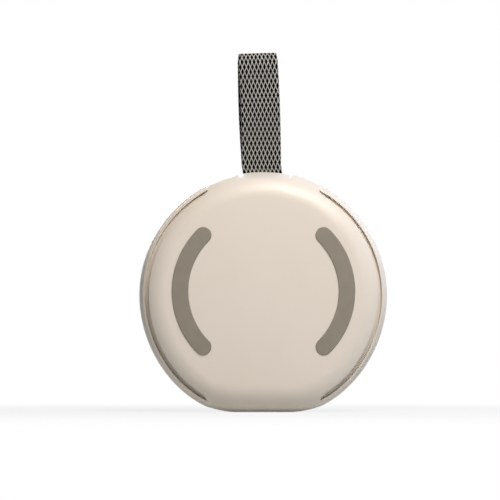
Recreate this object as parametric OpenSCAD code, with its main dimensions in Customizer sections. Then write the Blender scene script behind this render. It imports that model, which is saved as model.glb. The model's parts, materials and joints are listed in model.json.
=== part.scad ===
// Portable white noise sound machine: a round moulded body that stands on a short flat base,
// with a webbing carry loop on top, a speaker grille, four keys and a volume dial in front,
// and two silicone rest pads behind.

/* [Body] */
// Diameter of the round body
body_d = 120; // [116:0.5:140]
// Depth from the rear pads to the face of the volume dial
body_depth = 48; // [44:0.5:60]
// Height that the flat base takes off the circle
base_cut = 3.4; // [3.4:0.1:3.5]
// Radius of the soft corners on both sides of the flat base
corner_r = 36; // [34:1:36]
// Wall thickness of both shells
wall = 2.2; // [1.8:0.1:2.8]
// Depth of the rear shell, from its flat back to the parting line
rear_depth = 19.4; // [18:0.1:22]
// Radius of the rear shoulder
rear_round = 13; // [10:0.5:15]
// Radius of the front shoulder
front_round = 7; // [5:0.5:9]
// Height of the tongue that keys the rear shell into the front shell
tongue_h = 1.5; // [0.8:0.1:2.4]

/* [Rear face] */
// Radius of the middle line of the rest pads
pad_r = 37.9; // [36:0.1:39.5]
// Sideways offset of each rest pad's arc from the body's middle
pad_shift = 2.2; // [0:0.1:2.5]
// Width of the rest pads
pad_w = 8; // [7.2:0.1:9.5]
// Thickness of the rest pads
pad_t = 1.6; // [1.2:0.1:2]
// Height that the rest pads stand proud of the back
pad_proud = 0.6; // [0.4:0.1:1]
// Half of the angle that a rest pad spans, between the middles of its round ends
pad_turn = 45; // [38:1:52]
// Distance of the shadow groove's middle line from the rim
groove_inset = 3.3; // [2.2:0.1:4]
// Width of the shadow groove
groove_w = 1.4; // [0.8:0.1:2]
// Half of the angle that the shadow groove spans
groove_turn = 61; // [40:1:66]
// Depth of the shadow groove below the shoulder
groove_depth = 1.2; // [0.8:0.1:1.6]

/* [Strap] */
// Width of the webbing
strap_w = 18.6; // [15:0.5:23]
// Thickness of the webbing
webbing_t = 1.25; // [1:0.05:1.6]
// Height of the loop above the body
strap_rise = 57.5; // [40:0.5:80]
// Depth of the loop at its top bend
strap_bulge = 12; // [9:0.5:18]
// Sideways lean of the loop, in degrees
strap_lean = 2.6; // [0:0.1:4]
// Sideways offset of the loop's foot
strap_shift = 0.2; // [-1:0.1:1]
// Width of the recess that the loop stands in
recess_w = 28.4; // [26.5:0.1:34]
// Depth of the recess below the rim
recess_depth = 2.3; // [1.8:0.1:2.6]
// Length of the recess in front of the parting line
recess_reach = 9; // [7.5:0.5:12]
// Distance from the rim to the rear edge of the recess's sloping shelf
shelf_inset = 2.6; // [2:0.1:3.2]
// Thickness of the lip behind the webbing
lip_t = 1; // [0.6:0.1:1.6]
// Diameter of the steel pin that holds the loop
pin_d = 3; // [2.4:0.1:3.6]

/* [Front face] */
// Height of the volume dial's face above the bezel
dial_rise = 3; // [2.6:0.1:4]
// Diameter of the bezel opening
bezel_d = 95; // [94:0.1:98]
// Width of the milky light ring
ring_w = 3.3; // [2.4:0.1:4]
// Depth of the front panel below the bezel
panel_sink = 0.6; // [0.3:0.1:1]
// Thickness of the front panel
panel_t = 2.2; // [1.8:0.1:2.8]
// Space behind the panel for the key flanges
key_room = 1.8; // [1.7:0.1:2.4]
// Thickness of the deck that carries the speaker and the panel
deck_t = 2; // [1.6:0.1:2.6]
// Diameter of the speaker grille over its flange
grille_d = 54; // [48:0.5:60]
// Thickness of the grille's sheet metal
grille_t = 0.8; // [0.5:0.1:1]
// Height that the grille's face stands above its flange
grille_rise = 2.2; // [1.4:0.1:2.6]
// Diameter of the grille's holes
hole_d = 1.5; // [1:0.1:1.9]
// Spacing of the grille's holes
hole_pitch = 2.75; // [2.4:0.05:3.4]

/* [Keys and dial] */
// Radius of the arc that the keys and the dial stand on
control_r = 36.5; // [36.2:0.1:37.4]
// Diameter of a key
key_d = 8.6; // [7:0.1:9]
// Height of the keys above the panel
key_rise = 0.8; // [0.7:0.1:1.6]
// Travel of a key
key_travel = 0.6; // [0.3:0.05:0.65]
// Angle from the dial to the inner keys
inner_key_turn = 24; // [22:0.5:25]
// Angle from the dial to the outer keys
outer_key_turn = 46; // [44:0.5:47]
// Diameter of the volume dial
dial_d = 12.8; // [11:0.1:13.4]
// Diameter of the volume dial's shaft
shaft_d = 4; // [3:0.1:4.4]

/* [Speaker] */
// Diameter of the speaker's flange
speaker_d = 51; // [50:0.5:56]
// Diameter of the speaker's opening in the deck
mouth_d = 44; // [42:0.5:45]
// Diameter of the ring magnet
magnet_d = 32; // [28:0.5:34]
// Thickness of the ring magnet
magnet_t = 3.4; // [2.6:0.1:4]
// Diameter of the voice coil's former
coil_d = 14.4; // [13:0.1:15]
// Depth of the basket from its flange to the magnet
basket_h = 9.4; // [9:0.1:10]
// Travel of the cone, each way
cone_travel = 1; // [0.4:0.1:1.2]

/* [Inside] */
// Length of the battery
battery_l = 46; // [36:1:47]
// Width of the battery
battery_w = 32; // [24:1:33]
// Thickness of the battery
battery_t = 7.4; // [5:0.1:8.2]
// Length of the main board
board_l = 59; // [52:0.5:66]
// Width of the main board
board_w = 46; // [44:0.5:50]
// Thickness of the circuit boards
board_t = 1.6; // [1:0.1:1.8]
// Height of the main board above the rear shell's inner floor
board_lift = 9.1; // [8.1:0.1:11.6]

/* [Hidden] */
$fn = 96;

// Everything is laid out lying on its back: x to the right, y up the face, z to the front,
// with its zero at the middle of the round body. stand() sets it upright on its base.
r0 = body_d / 2;
drop = r0 - base_cut;
front_z = body_depth / 2;
rear_face = pad_proud - front_z;
pad_lift = base_cut / 2;
part_z = rear_face + rear_depth;
inner_floor = rear_face + wall;
clear = 0.25;
step = 0.03;

// Soft corners, tangent to the rim and to the flat base
corner_x = sqrt(pow(r0 - corner_r, 2) - pow(drop - corner_r, 2));
corner_y = corner_r - drop;
corner_turn = atan2(corner_x, -corner_y);

// Levels of the front, from the bezel inwards
bezel_z = front_z - dial_rise;
panel_z = bezel_z - panel_sink;
panel_back = panel_z - panel_t;
deck_z = panel_back - key_room;
deck_back = deck_z - deck_t;
opening_r = bezel_d / 2;
ring_out = opening_r - clear;
ring_in = ring_out - ring_w;
panel_r = ring_in - clear;
grille_seat = panel_z - grille_t - 0.2;
grille_wall_r = grille_d / 2 - 2.3;
panel_mouth_r = grille_wall_r - grille_t - clear;
panel_rib_r = grille_d / 2 + 0.8;
deck_wall = 1.8;

// Keys and dial
key_flange_r = key_d / 2 + 0.9;
key_flange_t = 0.9;
board_gap = 3.6;
key_board_z = deck_back - board_gap - board_t;
switch_h = 3.4;
plunger_h = 0.8;
switch_top = key_board_z + board_t + switch_h + plunger_h;
post_end = switch_top + key_travel + 0.15;
post_r = 1.5;
key_turns = [-outer_key_turn, -inner_key_turn, inner_key_turn, outer_key_turn];
encoder_w = 9.5;
encoder_h = 4.2;
bush_d = shaft_d + 2.2;
bush_h = 1.8;
dial_gap = 0.3;
dial_top_t = 1.4;

// Speaker
gasket_t = 0.8;
gasket_in = 1.6;
gasket_w = 1.8;
ear_out = 3.15;
flange_t = 1.2;
flange_z = deck_back - gasket_t;
flange_back = flange_z - flange_t;
plate_z = flange_back - basket_h;
plate_t = 2.8;
yoke_t = 2.4;
magnet_z = plate_z - plate_t - magnet_t;
yoke_z = magnet_z - yoke_t;
former_t = 0.3;
winding_t = 0.4;
coil_gap = 0.35;
coil_out = coil_d / 2 + winding_t;
spider_z = plate_z + 3;
cone_neck_z = spider_z + 2.4 + cone_travel * 0.4;
spider_out = magnet_d / 2 - 2.2;
roll_r = 1.9;
surround_t = 0.5;
roll_mid = mouth_d / 2 - roll_r - clear;
cone_r = roll_mid - roll_r - 0.8;
cone_t = 0.6;

// Case screws, hidden under the rest pads
screw_turn = 30;
screw_d = 2.6;
head_d = 5;
head_t = 1.8;
head_seat = part_z - 8;
screw_l = 14;
boss_r = head_d / 2 + 1.7;
small_screw_d = 1.8;
small_head_t = 1.2;
boss_gap = 0.4;

// Strap
recess_r = r0 - recess_depth;
pivot_rise = webbing_t + 0.35;
pivot_y = r0 + pivot_rise;
top_r = strap_bulge / 2;
top_y = r0 + strap_rise - top_r;
open_turn = asin((top_r - webbing_t) / (top_y - pivot_y));
slot_t = 2 * webbing_t + 0.5;
lip_z = part_z - slot_t / 2 - 0.1;
pin_y = recess_r - wall - 5;
pin_out = strap_w / 2 + 4.9;
seat_in = recess_r - wall;
seat_cover = 1.6;
seat_out = r0 - seat_cover;

// Boards and battery
board_z = inner_floor + board_lift;
board_top = board_z + board_t;
ribbon_y = 1.2 - board_w / 2;
tape_t = 0.5;
column_x = 22;
board_post = [column_x, board_w / 2 - 3.4];
chip_place = [13.5, 17.5];
chip_size = [5.6, 5.6, 1];
capacitor_r = 2.5;
capacitor_h = 5;
connector = [4.5, 6, 4];
lead_d = 1.2;
lead_x = column_x + connector[0] / 2 + 0.05;
usb_post = [48, 6];
usb_z = part_z + 3.6;
usb_t = 1.2;
usb_edge = sqrt(pow(r0 - wall, 2) - pow(8.6, 2)) - 0.5;
usb_w = 8.9;
usb_h = 3.2;
usb_l = 7.4;

shell_colour = "#E0D4C6";
pad_colour = "#8B857A";
metal_colour = "#B8BBBE";
board_colour = "#2E5E48";
dark_colour = "#1C1C1C";

// ---------------------------------------------------------------- helpers

module stand()
    translate([0, 0, drop])
        rotate([90, 0, 0])
            children();

// Carries a wall profile round the outline: the rim, the two soft corners and the flat base.
// The profile is drawn from its axis out to a radius of $rim.
module around() {
    rotate_extrude(angle = 360 - 2 * corner_turn, start = corner_turn - 90)
        let($rim = r0) children();
    for (side = [0, 1])
        mirror([side, 0, 0])
            translate([corner_x, corner_y])
                rotate_extrude(angle = corner_turn, start = -90)
                    let($rim = corner_r) children();
    translate([corner_x, corner_y])
        rotate([90, 0, -90])
            linear_extrude(2 * corner_x)
                let($rim = corner_r) children();
}

// Closes the field of the back between the rim's middle and the soft corners' middles
module back_disc()
    rod(r0 - corner_r + 3, rear_face, inner_floor);

// Half section of a disc with one rounded edge, at its lower or its upper face
module rounded_section(r, z0, z1, edge, upper = false) {
    edge_z = upper ? z1 - edge : z0 + edge;
    difference() {
        translate([0, z0])
            square([r, z1 - z0]);
        translate([r - edge, upper ? edge_z : z0 - 1])
            square([edge + 1, edge + 1]);
    }
    translate([r - edge, edge_z])
        intersection() {
            circle(edge);
            translate([0, upper ? 0 : -edge])
                square(edge);
        }
}

module tube(r_out, r_in, z0, z1)
    translate([0, 0, z0])
        linear_extrude(z1 - z0)
            difference() {
                circle(r_out);
                circle(r_in);
            }

module rod(r, z0, z1)
    translate([0, 0, z0])
        cylinder(r = r, h = z1 - z0);

// A plate with round corners
module plate(l, w, z0, z1, corner = 1)
    translate([0, 0, z0])
        linear_extrude(z1 - z0) {
            square([l - 2 * corner, w], center = true);
            square([l, w - 2 * corner], center = true);
            for (x = [-1, 1], y = [-1, 1])
                translate([x * (l / 2 - corner), y * (w / 2 - corner)])
                    circle(corner, $fn = 32);
        }

// Copies along the arc of the controls, at angles counted from straight down
module on_arc(turns)
    for (turn = turns)
        rotate(turn)
            translate([0, -control_r])
                children();

// Moves to the middle of a rest pad's arc, halfway up the body: 0 on the right, 1 on the left
module pad_side(side)
    mirror([side, 0, 0])
        translate([pad_shift, pad_lift])
            children();

module at_case_screws()
    for (side = [0, 1], turn = [-screw_turn, screw_turn])
        pad_side(side)
            rotate(turn)
                translate([pad_r, 0])
                    children();

module at_board_posts()
    for (x = [-1, 1], y = [-1, 1])
        translate([x * board_post[0], y * board_post[1]])
            children();

module at_usb_posts()
    for (y = [-1, 1])
        translate([usb_post[0], y * usb_post[1]])
            children();

// A slab of constant width across the body, from an outline in height and depth
module across(w)
    rotate([90, 0, 90])
        linear_extrude(w, center = true)
            children();

// A pan-head screw whose head rests at z = 0 and whose shank points up
module screw(d, l, head, t) {
    rod(d / 2, 0, l);
    difference() {
        rotate_extrude()
            rounded_section(head / 2, -t, 0, t / 3);
        for (turn = [0, 90])
            rotate(turn)
                translate([-head / 4, -head / 20, -t - 1])
                    cube([head / 2, head / 10, 1 + t / 2]);
    }
}

function bezier(p, t) =
    pow(1 - t, 3) * p[0] + 3 * t * pow(1 - t, 2) * p[1] + 3 * t * t * (1 - t) * p[2] + pow(t, 3) * p[3];

// A round lead swept along a curve with four control points
module lead(p, d, steps = 14, sides = 8) {
    path = [for (i = [0 : steps]) bezier(p, i / steps)];
    rings = [
        for (i = [0 : steps])
            let (
                way = path[min(i + 1, steps)] - path[max(i - 1, 0)],
                u = cross(way, [0.3, 1, 0.2]) / norm(cross(way, [0.3, 1, 0.2])),
                v = cross(way, u) / norm(cross(way, u))
            )
            for (k = [0 : sides - 1])
                path[i] + d / 2 * (cos(k * 360 / sides) * u + sin(k * 360 / sides) * v)
    ];
    walls = [
        for (i = [0 : steps - 1], k = [0 : sides - 1])
            let (a = i * sides + k, b = i * sides + (k + 1) % sides)
            [a, a + sides, b + sides, b]
    ];
    ends = [[for (k = [0 : sides - 1]) k], [for (k = [sides - 1 : -1 : 0]) steps * sides + k]];
    polyhedron(rings, concat(walls, ends));
}

// ---------------------------------------------------------------- shells

// How far the rear shoulder stands behind its middle, at a distance from the rim
function shoulder_drop(inset) = sqrt(pow(rear_round, 2) - pow(rear_round - inset, 2));

module rear_section() {
    difference() {
        rounded_section($rim, rear_face, part_z, rear_round);
        rounded_section($rim - wall, inner_floor, part_z + 1, rear_round - wall);
    }
    translate([$rim - wall, part_z])
        square([wall / 2 - 0.05, tongue_h]);
}

module front_section()
    difference() {
        rounded_section($rim, part_z, bezel_z, front_round, upper = true);
        rounded_section($rim - wall, part_z - 1, bezel_z - wall, front_round - wall, upper = true);
        translate([$rim - wall - 1, part_z - 1])
            square([wall / 2 + 1, tongue_h + 1.1]);
    }

// Recess in the rim that the strap stands in: a channel, and behind it a shelf in the rear
// shoulder that slopes up to a lip of the rim's full height
module recess_cut() {
    shelf = [r0 - shelf_inset, rear_face + rear_round - shoulder_drop(shelf_inset)];
    slope = [r0, lip_z - lip_t] - shelf;
    low = shelf - 0.2 * slope;
    high = shelf + 1.4 * slope;
    intersection() {
        rotate_extrude() {
            translate([recess_r, lip_z])
                square([recess_depth + 1, part_z + recess_reach - lip_z]);
            polygon([low, high, [high[0], low[1] - 1], low - [0, 1]]);
        }
        translate([-recess_w / 2, 0, rear_face - 2])
            cube([recess_w, r0 + 3, body_depth]);
    }
}

// Thick floor under the channel
module recess_floor(z0, z1)
    intersection() {
        tube(seat_out, seat_in, z0, z1);
        translate([-recess_w / 2 - wall, 0, z0])
            cube([recess_w + 2 * wall, r0, z1 - z0]);
    }

module strap_slot()
    translate([0, recess_r, part_z])
        cube([strap_w + 2 * abs(strap_shift) + 0.8, 4 * wall, slot_t], center = true);

module pin_seats(z0, z1)
    for (side = [-1, 1])
        translate([side * (strap_w / 2 + 3.5), (pin_y - 3 + seat_in) / 2 + 0.3, (z0 + z1) / 2])
            cube([3.8, seat_in - pin_y + 3.6, z1 - z0], center = true);

module pin_bore()
    translate([0, pin_y, part_z])
        rotate([0, 90, 0])
            cylinder(d = pin_d + 0.1, h = 2 * pin_out + 0.2, center = true);

module shadow_grooves() {
    mid = r0 - groove_inset;
    groove_z = rear_face + rear_round - shoulder_drop(groove_inset) + groove_depth;
    for (side = [0, 180])
        rotate(side) {
            rotate_extrude(angle = 2 * groove_turn, start = -groove_turn)
                translate([mid - groove_w / 2, rear_face - 1])
                    square([groove_w, groove_z - rear_face + 1]);
            for (turn = [-groove_turn, groove_turn])
                rotate(turn)
                    translate([mid, 0])
                        rod(groove_w / 2 - step, rear_face - 1, groove_z);
        }
}

module pad_pockets()
    for (side = [0, 1])
        pad_side(side) {
            rotate_extrude(angle = 2 * pad_turn, start = -pad_turn)
                translate([pad_r - pad_w / 2 - 0.1, rear_face - 1])
                    square([pad_w + 0.2, pad_t - pad_proud + 1]);
            for (turn = [-pad_turn, pad_turn])
                rotate(turn)
                    translate([pad_r, 0])
                        rod(pad_w / 2 + 0.1 - step, rear_face - 1, rear_face + pad_t - pad_proud);
        }

module battery_rails()
    for (side = [-1, 1]) {
        translate([side * (battery_l / 2 + 0.9), 0, inner_floor + 1.5])
            cube([1.2, battery_w / 2, 5], center = true);
        translate([0, side * (battery_w / 2 + 0.9), inner_floor + 1.5])
            cube([battery_l / 2, 1.2, 5], center = true);
    }

module rear_shell()
    color(shell_colour)
        stand()
            difference() {
                union() {
                    around()
                        rear_section();
                    back_disc();
                    recess_floor(rear_face + rear_round - shoulder_drop(seat_cover), part_z);
                    pin_seats(part_z - 4.5, part_z);
                    at_case_screws()
                        rod(boss_r, inner_floor - 1, part_z);
                    at_board_posts()
                        rod(2.4, inner_floor - 1, board_z);
                    at_usb_posts()
                        rod(2, inner_floor - 0.5, usb_z);
                    battery_rails();
                }
                at_case_screws() {
                    rod(head_d / 2 + 0.3, rear_face - 1, head_seat);
                    rod(screw_d / 2 + 0.15, head_seat - 1, part_z + 1);
                }
                at_board_posts()
                    rod(0.95, board_z - 6, board_z + 1);
                at_usb_posts()
                    rod(0.85, usb_z - 5, usb_z + 1);
                translate([-recess_w / 2 - wall - 0.3, 0, part_z])
                    cube([recess_w + 2 * wall + 0.6, r0, tongue_h + 1]);
                pad_pockets();
                shadow_grooves();
                recess_cut();
                strap_slot();
                pin_bore();
            }

module front_shell()
    color(shell_colour)
        stand()
            difference() {
                union() {
                    around()
                        front_section();
                    rod(opening_r + deck_wall, deck_back, bezel_z - wall / 2);
                    recess_floor(part_z, part_z + recess_reach + wall);
                    pin_seats(part_z, part_z + 4.5);
                    at_case_screws()
                        rod(3, part_z, deck_back + 0.5);
                    key_board_posts();
                    light_board_posts();
                }
                rod(opening_r, deck_z, bezel_z + 1);
                rod(mouth_d / 2, deck_back - 1, deck_z + 1);
                at_case_screws()
                    rod(screw_d / 2 + 0.05, part_z - 1, head_seat + screw_l + 2);
                on_arc(key_turns)
                    rod(post_r + 0.8, deck_back - 1, deck_z + 1);
                on_arc([0])
                    translate([0, 0, deck_z])
                        cube([encoder_w + 0.6, encoder_w + 0.6, 3 * deck_t], center = true);
                light_windows();
                key_board_screw_bores();
                recess_cut();
                strap_slot();
                pin_bore();
                usb_cut();
                speaker_screw_bores();
            }

// ---------------------------------------------------------------- front face

module front_panel()
    color("#D9CCBD")
        stand()
            difference() {
                rotate_extrude()
                    difference() {
                        union() {
                            rounded_section(panel_r, panel_back, panel_z, 0.5, upper = true);
                            translate([0, deck_z])
                                square([panel_rib_r, key_room + panel_t / 2]);
                            translate([panel_r - 1, deck_z])
                                square([1, key_room + panel_t / 2]);
                        }
                        square([panel_mouth_r, front_z]);
                        translate([0, grille_seat])
                            square([grille_d / 2 + 0.15, panel_t]);
                    }
                on_arc(key_turns)
                    rod(key_d / 2 + 0.3, panel_back - 1, panel_z + 1);
                on_arc([0])
                    rod(bush_d / 2 + 0.6, panel_back - 1, panel_z + 1);
            }

module light_ring()
    color("#F4EFE6")
        stand()
            rotate_extrude()
                difference() {
                    rounded_section(ring_out, deck_z, bezel_z - 0.3, 0.8, upper = true);
                    square([ring_in, front_z]);
                }

// Rings of holes, six more in each ring than in the one inside it
module hole_rings(last_r)
    for (ring = [0 : floor(last_r / hole_pitch)], k = [0 : max(ring * 6, 1) - 1])
        rotate(k * 60 / max(ring, 1))
            translate([ring * hole_pitch, 0])
                circle(d = hole_d, $fn = 24);

module speaker_grille() {
    bend = 2 * grille_t;
    face_r = grille_wall_r - bend;
    face_z = grille_seat + grille_rise;
    color("#3A3937")
        stand() {
            translate([0, 0, face_z])
                linear_extrude(grille_t)
                    difference() {
                        circle(face_r);
                        hole_rings(face_r - hole_d);
                    }
            rotate_extrude() {
                translate([grille_wall_r - grille_t, grille_seat])
                    square([grille_d / 2 - grille_wall_r + grille_t, grille_t]);
                translate([grille_wall_r - grille_t, grille_seat])
                    square([grille_t, face_z + grille_t - bend - grille_seat]);
                translate([face_r, face_z + grille_t - bend])
                    intersection() {
                        difference() {
                            circle(bend);
                            circle(bend - grille_t);
                        }
                        square(bend);
                    }
            }
        }
}

module grille_cloth()
    color(dark_colour)
        stand()
            rod(panel_mouth_r - 0.2, deck_z, deck_z + 0.4);

module key(turn)
    stand()
        on_arc([turn])
            rotate_extrude() {
                rounded_section(key_d / 2, panel_back - key_flange_t, panel_z + key_rise, 0.6, upper = true);
                translate([0, panel_back - key_flange_t])
                    square([key_flange_r, key_flange_t]);
                translate([0, post_end])
                    square([post_r, panel_back - post_end]);
            }

module power_key()
    color("#CFC2B2")
        key(key_turns[0]);

module timer_key()
    color("#CFC2B2")
        key(key_turns[1]);

module light_key()
    color("#CFC2B2")
        key(key_turns[2]);

module sound_key()
    color("#CFC2B2")
        key(key_turns[3]);

// A fluted cap with a bore for the shaft and a groove that shows where it points
module volume_dial() {
    flutes = 30;
    foot_z = panel_z + dial_gap;
    color("#CFC2B2")
        stand()
            on_arc([0])
                difference() {
                    rotate_extrude()
                        rounded_section(dial_d / 2, foot_z, front_z, 0.7, upper = true);
                    for (k = [0 : flutes - 1])
                        rotate(k * 360 / flutes)
                            translate([dial_d / 2 + 0.12, 0])
                                rod(0.4, foot_z - 1, front_z - 0.9, $fn = 24);
                    rod(shaft_d / 2 + 0.03, foot_z - 1, front_z - dial_top_t);
                    translate([-0.35, dial_d / 4, front_z - 0.4])
                        cube([0.7, dial_d / 4 - 1, 1]);
                }
}

module dial_shaft()
    color(metal_colour)
        stand()
            on_arc([0])
                rod(shaft_d / 2, key_board_z + board_t + 1.2, front_z - dial_top_t);

module dial_encoder()
    color("#5A5D60")
        stand()
            on_arc([0])
                difference() {
                    union() {
                        translate([0, 0, key_board_z + board_t + encoder_h / 2])
                            cube([encoder_w, encoder_w, encoder_h], center = true);
                        rod(bush_d / 2, key_board_z + board_t, key_board_z + board_t + encoder_h + bush_h);
                    }
                    rod(shaft_d / 2 + 0.15, key_board_z + board_t + 1, front_z);
                }

// ---------------------------------------------------------------- control board

module at_key_board_posts()
    for (turn = [-35, 35])
        rotate(turn)
            translate([0, -control_r])
                children();

module key_board_posts()
    at_key_board_posts()
        rod(2.2, key_board_z + board_t, deck_back + deck_t / 2);

module key_board_screw_bores()
    at_key_board_posts()
        rod(0.95, key_board_z, deck_back + 1);

module key_board()
    color(board_colour)
        stand()
            difference() {
                rotate_extrude(angle = 2 * outer_key_turn + 16, start = -98 - outer_key_turn)
                    translate([panel_rib_r + 0.4, key_board_z])
                        square([panel_r - panel_rib_r, board_t]);
                at_key_board_posts()
                    rod(1.2, key_board_z - 1, key_board_z + board_t + 1);
            }

module key_board_screws()
    color(metal_colour)
        stand()
            at_key_board_posts()
                translate([0, 0, key_board_z])
                    screw(small_screw_d, 4.4, 2 * small_screw_d, small_head_t);

module key_switches()
    color(dark_colour)
        stand()
            on_arc(key_turns) {
                translate([0, 0, key_board_z + board_t + switch_h / 2])
                    cube([6, 6, switch_h], center = true);
                rod(1.7, key_board_z + board_t + switch_h, switch_top);
            }

light_gap = 1.4;
light_board_z = deck_back - light_gap - 1.2;

module at_light_board_posts()
    for (k = [0 : 5])
        rotate(k * 60 + 15)
            translate([opening_r + 0.2, 0])
                children();

module light_board_posts()
    at_light_board_posts()
        rod(1.3, light_board_z + 1.2, deck_back + deck_t / 2);

module light_windows()
    for (k = [0 : 11])
        rotate(k * 30)
            translate([(ring_in + ring_out) / 2, 0, deck_z])
                cube([ring_w - 1, 5, 3 * deck_t], center = true);

module light_board()
    color("#E8E8E4")
        stand()
            tube(opening_r + deck_wall, ring_in + 0.4, light_board_z, light_board_z + 1.2);

module light_leds()
    color("#F3E7A8")
        stand()
            for (k = [0 : 11])
                rotate(k * 30)
                    translate([(ring_in + ring_out) / 2, 0, light_board_z + 1.2 + 0.5])
                        cube([2, 3, 1], center = true);

// ---------------------------------------------------------------- speaker

module speaker_gasket()
    color("#2A2A2A")
        stand()
            difference() {
                tube(mouth_d / 2 + gasket_in + gasket_w, mouth_d / 2 + gasket_in, flange_z, deck_back);
                at_speaker_screws()
                    rod(1.05, flange_z - 1, deck_back + 1);
            }

module speaker_screw_bores()
    at_speaker_screws()
        rod(0.95, deck_back - 1, deck_z - 0.5);

module at_speaker_screws()
    for (k = [0 : 3])
        rotate(45 + k * 90)
            translate([mouth_d / 2 + ear_out, 0])
                children();

module speaker_screws()
    color(metal_colour)
        stand()
            at_speaker_screws()
                translate([0, 0, flange_back])
                    screw(small_screw_d, 3.2, 2 * small_screw_d, small_head_t);

// Pressed steel: a flange with four ears, a conical wall with windows, and the spider's landing
module speaker_basket() {
    low_r = spider_out + 1.4;
    high_r = mouth_d / 2 + 1.2;
    color("#6E7073")
        stand()
            difference() {
                union() {
                    tube(speaker_d / 2, mouth_d / 2, flange_back, flange_z);
                    at_speaker_screws()
                        rod(2.4, flange_back, flange_z);
                    rotate_extrude()
                        polygon([
                            [spider_out - 2, plate_z], [low_r, plate_z], [high_r, flange_back],
                            [high_r, flange_z], [mouth_d / 2, flange_z], [mouth_d / 2, flange_back],
                            [spider_out, plate_z + 2], [spider_out, spider_z], [spider_out - 2, spider_z]
                        ]);
                }
                for (k = [0 : 3])
                    rotate(k * 90)
                        translate([low_r, -5.5, plate_z + 3.4])
                            cube([mouth_d, 11, basket_h - 5]);
                at_speaker_screws()
                    rod(1.05, flange_back - 1, flange_z + 1);
            }
}

// Half-roll rubber edge, glued to the flange, that lets the cone move
module speaker_surround()
    color("#262626")
        stand()
            rotate_extrude() {
                translate([roll_mid, flange_z])
                    intersection() {
                        difference() {
                            circle(roll_r);
                            circle(roll_r - surround_t);
                        }
                        translate([-roll_r, 0])
                            square([2 * roll_r, roll_r]);
                    }
                translate([roll_mid + roll_r - surround_t, flange_z])
                    square([1.4, surround_t]);
                translate([roll_mid - roll_r - 0.4, flange_z])
                    square([0.4 + surround_t, surround_t]);
            }

module speaker_spider() {
    waves = 4;
    inner = coil_d / 2 + coil_gap;
    step = (spider_out - inner - 0.8) / waves;
    color("#C9A86A")
        stand()
            rotate_extrude()
                for (k = [0 : waves - 1])
                    translate([inner + k * step, spider_z + (k % 2) * 0.4])
                        square([step + 0.8, 0.6]);
}

module speaker_cone() {
    low_r = coil_d / 2;
    low_z = cone_neck_z;
    top_z = flange_z + 0.4;
    color("#3B3A38")
        stand()
            rotate_extrude()
                polygon([
                    [low_r, low_z], [cone_r, top_z - cone_t], [cone_r, top_z], [cone_r - 1, top_z],
                    [low_r + 0.4, low_z + 1.1], [low_r, low_z + 1.1]
                ]);
}

module dust_cap() {
    cap_r = coil_d / 2 + 1.6;
    ball_r = 12;
    seat_z = spider_z + 4.6;
    low = sqrt(ball_r * ball_r - cap_r * cap_r);
    color("#2B2A29")
        stand()
            translate([0, 0, seat_z])
                rotate_extrude()
                    intersection() {
                        translate([0, -low])
                            difference() {
                                circle(ball_r);
                                circle(ball_r - 0.5);
                            }
                        translate([0, 0.02])
                            square([cap_r, ball_r]);
                    }
}

module coil_former()
    color("#A9762E")
        stand()
            tube(coil_d / 2, coil_d / 2 - former_t, magnet_z + 1.8 + cone_travel, cone_neck_z);

module voice_coil()
    color("#B5652B")
        stand()
            tube(coil_out, coil_d / 2, plate_z - plate_t - 0.6, plate_z + 0.6);

module magnet_top_plate()
    color(metal_colour)
        stand()
            tube(magnet_d / 2 - 1, coil_out + coil_gap, plate_z - plate_t, plate_z);

module ring_magnet()
    color("#35363A")
        stand()
            tube(magnet_d / 2, coil_out + 1.6, magnet_z, plate_z - plate_t);

module magnet_yoke()
    color(metal_colour)
        stand() {
            rod(magnet_d / 2 - 1, yoke_z, magnet_z);
            rod(coil_d / 2 - former_t - coil_gap, yoke_z, plate_z);
        }

module speaker_terminals()
    color("#B99B4F")
        stand()
            rotate(157)
                translate([mouth_d / 2 + 2.3, 0, flange_back - 2.4])
                    cube([0.9, 8, 4.8], center = true);

// ---------------------------------------------------------------- boards and battery

module main_board()
    color(board_colour)
        stand()
            difference() {
                plate(board_l, board_w, board_z, board_top);
                at_board_posts()
                    rod(1.2, board_z - 1, board_top + 1);
                at_case_screws()
                    rod(boss_r + boss_gap, board_z - 1, board_top + 1);
            }

module board_screws()
    color(metal_colour)
        stand() {
            at_board_posts()
                translate([0, 0, board_top])
                    rotate([180, 0, 0])
                        screw(small_screw_d, 5.6, 2 * small_screw_d, small_head_t);
            at_usb_posts()
                translate([0, 0, usb_z + usb_t])
                    rotate([180, 0, 0])
                        screw(1.6, 4.6, 3.2, 1);
        }

module board_chips()
    color(dark_colour)
        stand()
            for (x = [-1, 1], y = [-1, 1])
                translate([x * chip_place[0], y * chip_place[1], board_top + chip_size[2] / 2])
                    cube(chip_size, center = true);

module board_capacitors()
    color("#3D4C63")
        stand()
            for (place = [[column_x, 2.8 * capacitor_r], [column_x, 0], [-column_x, -capacitor_r]])
                translate(place)
                    rod(capacitor_r, board_top, board_top + capacitor_h);

module board_connectors()
    color("#EDE6D6")
        stand() {
            for (place = [[-1, 1.5], [1, -1.5], [-1, -2]])
                translate([place[0] * column_x, place[1] * connector[1], board_top + connector[2] / 2])
                    cube(connector, center = true);
            translate([0, ribbon_y + connector[2] / 2, board_top + connector[2] / 4])
                cube([2 * connector[1], connector[2], connector[2] / 2], center = true);
        }

module usb_board()
    color(board_colour)
        stand()
            difference() {
                translate([usb_post[0] - 3.6, -8.6, usb_z])
                    cube([usb_edge - usb_post[0] + 3.6, 17.2, usb_t]);
                at_usb_posts()
                    rod(1.05, usb_z - 1, usb_z + usb_t + 1);
            }

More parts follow.
